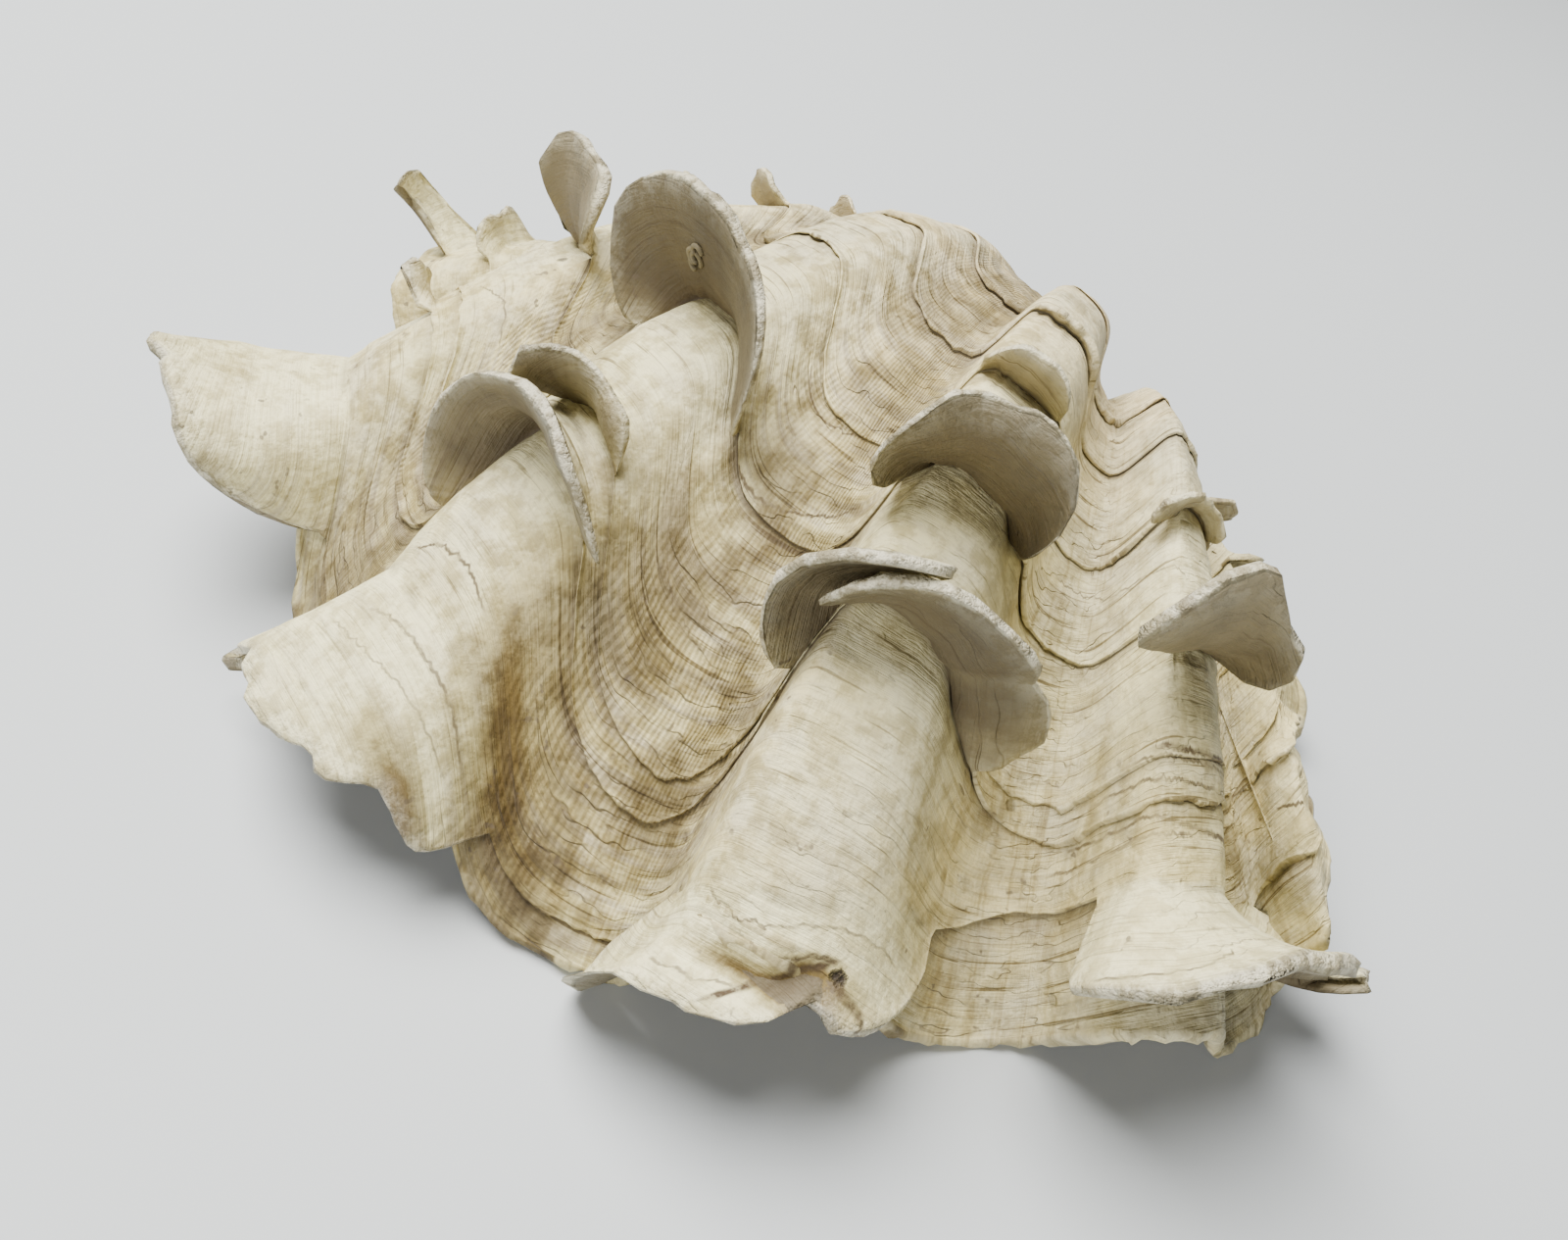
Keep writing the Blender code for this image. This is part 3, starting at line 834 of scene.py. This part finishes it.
class Graph:
    """Adds nodes to a material's tree and returns their outputs."""

    def __init__(self, tree):
        self.tree = tree

    def put(self, slot, value):
        """Sets an input to a value, or links an output to it."""
        if isinstance(value, (int, float)):
            slot.default_value = value
        elif isinstance(value, tuple):
            slot.default_value = (*value, 1.0) if len(slot.default_value) > len(value) else value
        else:
            self.tree.links.new(value, slot)

    def math(self, operation, *values):
        made = self.tree.nodes.new("ShaderNodeMath")
        made.operation = operation
        for slot, value in zip(made.inputs, values):
            self.put(slot, value)
        return made.outputs[0]

    def product(self, *values):
        total = values[0]
        for value in values[1:]:
            total = self.math("MULTIPLY", total, value)
        return total

    def scaled(self, source, scale):
        made = self.tree.nodes.new("ShaderNodeVectorMath")
        made.operation = "MULTIPLY"
        self.put(made.inputs[0], source)
        self.put(made.inputs[1], scale)
        return made.outputs[0]

    def noise(self, source, scale=1.0, detail=3.0, rough=0.5):
        made = self.tree.nodes.new("ShaderNodeTexNoise")
        self.put(made.inputs["Vector"], source)
        self.put(made.inputs["Scale"], scale)
        self.put(made.inputs["Detail"], detail)
        self.put(made.inputs["Roughness"], rough)
        return made.outputs["Fac"]

    def band(self, value, low, high, to_low=0.0, to_high=1.0):
        """Smooth step of a value between two levels."""
        made = self.tree.nodes.new("ShaderNodeMapRange")
        made.interpolation_type = "SMOOTHSTEP"
        self.put(made.inputs["Value"], value)
        self.put(made.inputs["From Min"], low)
        self.put(made.inputs["From Max"], high)
        self.put(made.inputs["To Min"], to_low)
        self.put(made.inputs["To Max"], to_high)
        return made.outputs["Result"]

    def blend(self, share, base, over, mode="MIX"):
        made = self.tree.nodes.new("ShaderNodeMix")
        made.data_type = "RGBA"
        made.blend_type = mode
        self.put(made.inputs[0], share)
        self.put(made.inputs[6], base)
        self.put(made.inputs[7], over)
        return made.outputs[2]

    def darkened_by(self, share, base, tint):
        """The base, darkened by a tint."""
        return self.blend(share, base, tint, "MULTIPLY")

    def parts(self, name):
        """A vertex attribute and its three values."""
        made = self.tree.nodes.new("ShaderNodeAttribute")
        made.attribute_name = name
        split = self.tree.nodes.new("ShaderNodeSeparateXYZ")
        self.put(split.inputs[0], made.outputs["Vector"])
        return made.outputs["Vector"], split.outputs


class Coat:
    """The noises and masks that the shell's colour and relief share."""

    def __init__(self, graph):
        self.place = graph.tree.nodes.new("ShaderNodeTexCoord").outputs["Object"]
        coat, (self.around_mm, self.growth_mm, self.groove) = graph.parts("coat")
        # Shares of white for fresh growth and painted light, of underside colour, and of painted
        # crevice shade
        _, (self.fresh_and_painted_light, self.under, self.crevice_shade) = graph.parts("tint")
        # Stains with some painted shade, rims, and underside dirt with painted shade
        _, (self.stain, self.rim, self.soot) = graph.parts("wear_and_shade")
        self.coat = coat

        # Noise that runs with the growth lines or with the riblets
        self.striae = graph.noise(graph.scaled(coat, (0.045, 1.5, 0.0)), detail=3, rough=0.75)
        self.hairs = graph.noise(graph.scaled(coat, (0.022, 0.75, 0.0)), detail=3, rough=0.8)
        self.bands = graph.noise(graph.scaled(coat, (0.04, 0.34, 0.0)), detail=3, rough=0.65)
        self.rays = graph.noise(graph.scaled(coat, (0.60, 0.035, 0.0)), detail=2, rough=0.65)

        # Noise that runs evenly, from the widest to the finest
        self.patch = graph.noise(self.place, scale=24.0, detail=2, rough=0.55)
        self.blotch = graph.noise(self.place, scale=70.0, detail=4, rough=0.65)
        self.smudge = graph.noise(self.place, scale=150.0, detail=4, rough=0.6)
        self.mottle = graph.noise(self.place, scale=300.0, detail=4, rough=0.75)
        self.specks = graph.noise(self.place, scale=420.0, detail=2, rough=0.6)

        # Where the shell is neither fresh nor painted light, calm at its left end, furrowed, or on
        # its left half
        # Left half: dirt fades beyond it, partly as painted light on the right half's shaded flanks
        self.west = graph.band(self.around_mm, EAST_MM, WEST_MM)
        self.neither_fresh_nor_lit = graph.math("SUBTRACT", 1.0, self.fresh_and_painted_light)
        self.calm = graph.band(self.around_mm, CALM_MM, CALM_MM + CALM_FADE_MM, 0.4, 1.0)
        self.grooved = graph.math("MULTIPLY_ADD", self.groove, 0.65, 0.35)
        self.add_riblets(graph)
        self.add_ledges(graph)

    def add_riblets(self, graph):
        """Riblets along growth, a little under a millimetre apart."""
        sway = graph.noise(graph.scaled(self.coat, (0.06, 0.07, 0.0)), detail=3)
        sway = graph.product(sway, RIBLET_SWAY)
        phase = graph.math("MULTIPLY_ADD", self.around_mm, RIBLETS_PER_MM, sway)
        self.riblet = graph.math("PINGPONG", phase, 0.5)
        self.riblet_mask = graph.product(
            graph.band(self.groove, 0.1, 0.8, 0.15, 1.0),
            graph.band(self.patch, 0.38, 0.6, 0.35, 1.0),
            graph.math("MULTIPLY_ADD", self.west, 0.75, 0.25),
        )

    def add_ledges(self, graph):
        """Thin growth ledges: a phase along growth whose jumps get painted shadow lines."""
        wander = graph.noise(graph.scaled(self.coat, (0.05, 0.12, 0.0)), detail=3, rough=0.65)
        wander = graph.product(wander, LEDGE_WANDER)
        phase = graph.math("MULTIPLY_ADD", self.growth_mm, LEDGES_PER_MM, wander)
        saw = graph.math("FRACT", phase)
        edge = graph.band(saw, 0.92, 0.995)
        broken = graph.noise(graph.scaled(self.coat, (0.09, 0.14, 0.0)), detail=3, rough=0.6)
        mask = graph.math("MULTIPLY_ADD", self.west, -0.35, 0.5)
        mask = graph.math("MAXIMUM", mask, graph.band(self.groove, 0.25, 0.75, 0.12, 1.0))
        mask = graph.product(mask, graph.band(broken, 0.40, 0.62, 0.1, 1.0))
        self.ledge = graph.product(edge, mask)
        self.step = graph.product(graph.math("SUBTRACT", saw, edge), mask)


def plain_colour(graph, coat):
    """Cream shell, older and cooler in places, white where growth is fresh and as painted light,
    tanned in bands.
    """
    cream = graph.blend(graph.band(coat.patch, 0.35, 0.65), CREAM, WARM_CREAM)
    aged = graph.blend(graph.band(coat.growth_mm, 160.0, 90.0, 0.0, 0.8), cream, AGED)
    cool = graph.blend(graph.band(coat.blotch, 0.4, 0.65, 0.0, 0.8), aged, COOL)
    # White of fresh growth and of painted light
    painted_light_and_fresh_white = graph.product(coat.fresh_and_painted_light, graph.band(coat.blotch, 0.3, 0.55, 0.7, 1.0))
    white = graph.blend(painted_light_and_fresh_white, cool, FRESH_AND_PAINTED_LIGHT_WHITE)
    tan = graph.product(
        graph.band(coat.bands, 0.45, 0.60),
        graph.band(coat.groove, 0.1, 0.8, 0.25, 0.75),
        coat.calm,
        graph.math("MULTIPLY_ADD", coat.west, 0.7, 0.3),
    )
    return graph.blend(tan, white, BANDED)


def lined_colour(graph, coat, base):
    """The fine lines of growth, the rays and riblets across them, and small clouds."""
    striae = graph.product(graph.band(coat.striae, 0.45, 0.64, 0.0, 0.5), coat.calm, coat.grooved)
    hair = graph.product(
        graph.band(coat.hairs, 0.595, 0.635),
        coat.calm,
        graph.math("MULTIPLY_ADD", coat.neither_fresh_nor_lit, 0.5, 0.35),
    )
    rays = graph.product(graph.band(coat.rays, 0.50, 0.66, 0.0, 0.5), coat.neither_fresh_nor_lit, coat.groove)
    riblet = graph.product(graph.band(coat.riblet, 0.25, 0.0), coat.riblet_mask, coat.calm, 0.20)
    smudge = graph.product(
        graph.band(coat.smudge, 0.46, 0.62),
        graph.math("MULTIPLY_ADD", coat.neither_fresh_nor_lit, 0.45, 0.3),
        graph.math("MULTIPLY_ADD", coat.west, 0.6, 0.4),
    )
    colour = graph.darkened_by(striae, base, STRIAE_TINT)
    colour = graph.darkened_by(hair, colour, HAIR_TINT)
    colour = graph.darkened_by(rays, colour, RAY_TINT)
    colour = graph.darkened_by(riblet, colour, RIBLET_TINT)
    colour = graph.darkened_by(graph.band(coat.mottle, 0.42, 0.60, 0.0, 0.48), colour, CLOUD_TINT)
    return graph.darkened_by(smudge, colour, SMUDGE_TINT)


def soiled_and_shaded_colour(graph, coat, base):
    """Dirt and painted shade in the grooves and on the flutes' undersides, and brown stains."""
    # Grooves darkened as dirt and as painted shade
    deep = graph.product(
        graph.band(coat.groove, 0.35, 1.0, 0.0, 0.85),
        graph.band(coat.blotch, 0.32, 0.58),
        graph.math("MULTIPLY_ADD", coat.west, 0.8, 0.2),
    )
    colour = graph.darkened_by(deep, base, GROOVE_DIRT_AND_SHADE_TINT)
    streaks = graph.math("MULTIPLY_ADD", coat.rays, 1.1, graph.product(coat.blotch, 1.3))
    streaks = graph.math("MULTIPLY_ADD", coat.mottle, 0.8, streaks)
    streaks = graph.math("MULTIPLY_ADD", coat.stain, 1.1, streaks)
    colour = graph.darkened_by(graph.band(streaks, 1.55, 2.5, 0.0, 0.85), colour, TAN_TINT)
    colour = graph.darkened_by(graph.band(streaks, 2.3, 3.8), colour, STAIN_TINT)
    # Undersides of the flutes in dark browns, which are dirt and painted shade
    below = graph.blend(graph.band(coat.blotch, 0.4, 0.62), UNDERSIDE, DARK_UNDERSIDE)
    below = graph.blend(graph.band(coat.mottle, 0.42, 0.62, 0.0, 0.5), below, PALE_UNDERSIDE)
    sooty = graph.math("MULTIPLY_ADD", coat.blotch, 0.6, coat.soot)
    below = graph.darkened_by(graph.band(sooty, 0.3, 1.2), below, SOOT_AND_SHADE_TINT)
    return graph.blend(graph.product(coat.under, 0.88), colour, below)


def edged_colour(graph, coat, base):
    """Painted shadow lines at growth ledges, rough rims, painted shade in crevices, and specks."""
    colour = graph.blend(graph.product(coat.ledge, 0.75), base, LEDGE_SHADOW)
    rough_rim = graph.blend(graph.band(coat.mottle, 0.42, 0.58), RIM, DARK_RIM)
    colour = graph.blend(graph.product(coat.rim, 0.75), colour, rough_rim)
    colour = graph.blend(graph.product(coat.crevice_shade, 0.8), colour, PAINTED_CREVICE_SHADE)
    speck = graph.product(
        graph.band(coat.specks, 0.665, 0.725),
        graph.band(coat.patch, 0.42, 0.6),
        0.7,
    )
    return graph.blend(speck, colour, SPECK)


def crack_share(graph, coat, margin_mm):
    """How dark the cracks are: how near each point lies to a bowed line between two places."""
    waver = graph.noise(graph.scaled(coat.coat, (0.45, 0.10, 0.0)), detail=2, rough=0.8)
    strayed = graph.math("SUBTRACT", coat.growth_mm, 0.5 * CRACK_WAVER_MM)
    strayed = graph.math("MULTIPLY_ADD", waver, CRACK_WAVER_MM, strayed)
    mm_per_u = margin_mm / (U_END - U_START)
    cracks = None
    for from_u, from_mm, to_u, to_mm, bow, width, depth in CRACKS:
        start = (from_u - U_START) * mm_per_u
        length = (to_u - from_u) * mm_per_u
        run = graph.math("MULTIPLY_ADD", coat.around_mm, 1.0 / length, -start / length)
        bend = graph.math("MULTIPLY_ADD", run, -4.0 * bow, to_mm - from_mm + 4.0 * bow)
        course = graph.math("MULTIPLY_ADD", run, bend, from_mm)
        away = graph.math("ABSOLUTE", graph.math("SUBTRACT", strayed, course))
        off_middle = graph.math("ABSOLUTE", graph.math("SUBTRACT", run, 0.5))
        crack = graph.product(
            graph.band(away, width, 0.25 * width, 0.0, depth),
            graph.band(off_middle, 0.5, 0.4),
        )
        cracks = crack if cracks is None else graph.math("MAXIMUM", cracks, crack)
    return graph.product(
        cracks,
        graph.band(coat.mottle, 0.60, 0.45, 0.45, 1.0),
        graph.math("SUBTRACT", 1.0, coat.under),
    )


def relief_height(graph, coat):
    """Relief too fine for the mesh, in millimetres."""
    height = graph.product(coat.striae, 0.28)
    layers = [
        (coat.hairs, -0.35),
        (graph.product(coat.riblet, coat.riblet_mask), 0.30),
        (coat.bands, 0.55),
        (coat.mottle, 0.28),
        (graph.product(coat.mottle, coat.rim), 1.2),
        (coat.smudge, 0.35),
        (coat.step, 0.38),
    ]
    for layer, depth in layers:
        height = graph.math("MULTIPLY_ADD", layer, depth, height)
    return height


def add_holes(graph, coat, colour, height):
    """Ragged bore holes and pits: painted shade inside them in the colour, and a dip in the relief.
    """
    for at_u, at_mm, radius, darkness in HOLES:
        centre = grown(np.array([at_u]), np.array([at_mm / GROWTH_MM]))[0] + HINGE_AT
        away = graph.tree.nodes.new("ShaderNodeVectorMath")
        away.operation = "DISTANCE"
        graph.put(away.inputs[0], coat.place)
        graph.put(away.inputs[1], tuple((centre * MM).tolist()))
        ragged = graph.math("MULTIPLY_ADD", coat.mottle, HOLE_RAGGED * MM, away.outputs["Value"])
        near = graph.band(ragged, (radius + 0.9) * MM, (radius + 0.45) * MM, 0.0, darkness)
        colour = graph.blend(near, colour, HOLE_SHADE)
        height = graph.math("MULTIPLY_ADD", near, -0.8, height)
    return colour, height


def shell_material(margin_mm):
    material = bpy.data.materials.new("shell")
    material.use_nodes = True
    graph = Graph(material.node_tree)
    shader = material.node_tree.nodes["Principled BSDF"]
    coat = Coat(graph)
    colour = plain_colour(graph, coat)
    colour = lined_colour(graph, coat, colour)
    colour = soiled_and_shaded_colour(graph, coat, colour)
    colour = edged_colour(graph, coat, colour)
    colour = graph.blend(crack_share(graph, coat, margin_mm), colour, CRACK)
    colour, height = add_holes(graph, coat, colour, relief_height(graph, coat))
    graph.put(shader.inputs["Base Color"], colour)
    graph.put(shader.inputs["Roughness"], 0.6)
    graph.put(shader.inputs["Specular IOR Level"], 0.3)
    bump = graph.tree.nodes.new("ShaderNodeBump")
    graph.put(bump.inputs["Strength"], 1.0)
    graph.put(bump.inputs["Distance"], MM)
    graph.put(bump.inputs["Height"], height)
    graph.put(shader.inputs["Normal"], bump.outputs["Normal"])
    return material


def make_valve():
    mesh, margin_mm = valve_mesh()
    valve = bpy.data.objects.new("valve_shell", mesh)
    mesh.materials.append(shell_material(margin_mm))
    bpy.context.scene.collection.objects.link(valve)
    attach(valve, "root")
    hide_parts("valve")
    return valve


def plain_material(name, colour, roughness):
    material = bpy.data.materials.new(name)
    material.use_nodes = True
    shader = material.node_tree.nodes["Principled BSDF"]
    shader.inputs["Base Color"].default_value = (*colour, 1.0)
    shader.inputs["Roughness"].default_value = roughness
    return material


def make_floor():
    mesh = bpy.data.meshes.new("floor")
    corners = [(-1, -1, 0), (1, -1, 0), (1, 1, 0), (-1, 1, 0)]
    points = [(FLOOR_HALF * x, FLOOR_HALF * y, z) for x, y, z in corners]
    mesh.from_pydata(points, [], [(0, 1, 2, 3)])
    floor = bpy.data.objects.new("floor", mesh)
    mesh.materials.append(plain_material("floor", FLOOR_COLOUR, FLOOR_ROUGHNESS))
    bpy.context.scene.collection.objects.link(floor)


def aim(item, target):
    """Turns a lamp, which shines along its own -Z, towards a point."""
    way = np.array(target) - np.array(item.location)
    tilt = math.atan2(math.hypot(way[0], way[1]), -way[2])
    item.rotation_euler = (tilt, 0.0, math.atan2(-way[0], way[1]))


def make_light(name, place, size, power, colour):
    data = bpy.data.lights.new(name, "AREA")
    data.shape = "ELLIPSE"
    data.size, data.size_y = size
    data.energy = power
    data.color = colour
    lamp = bpy.data.objects.new(name, data)
    lamp.location = place
    aim(lamp, LIGHT_AIM)
    bpy.context.scene.collection.objects.link(lamp)


def make_lights():
    for row in LIGHTS:
        make_light(*row)
    world = bpy.data.worlds.new("room")
    bpy.context.scene.world = world
    world.use_nodes = True
    background = world.node_tree.nodes["Background"]
    background.inputs["Color"].default_value = (*ROOM_COLOUR, 1.0)
    background.inputs["Strength"].default_value = ROOM_STRENGTH


def make_camera():
    """The photograph's camera, with its roll."""
    turn, height, roll = (math.radians(a) for a in (CAMERA_TURN, CAMERA_HEIGHT, CAMERA_ROLL))
    back = np.array([
        math.sin(turn) * math.cos(height),
        -math.cos(turn) * math.cos(height),
        math.sin(height),
    ])
    level = np.array([math.cos(turn), math.sin(turn), 0.0])
    upright = np.cross(level, -back)
    right = level * math.cos(roll) + upright * math.sin(roll)
    up = -level * math.sin(roll) + upright * math.cos(roll)
    place = (CAMERA_AIM + HINGE_AT + back * CAMERA_AWAY) * MM
    data = bpy.data.cameras.new("camera")
    data.sensor_width = SENSOR_MM
    data.lens = FOCAL_PIXELS / FRAME_PIXELS * SENSOR_MM
    data.clip_start = CLIP_START
    camera = bpy.data.objects.new("camera", data)
    columns = np.stack([right, up, back, place], 1)
    camera.matrix_world = Matrix([*columns.tolist(), [0.0, 0.0, 0.0, 1.0]])
    bpy.context.scene.collection.objects.link(camera)
    bpy.context.scene.camera = camera


make_valve()
make_floor()
make_lights()
make_camera()
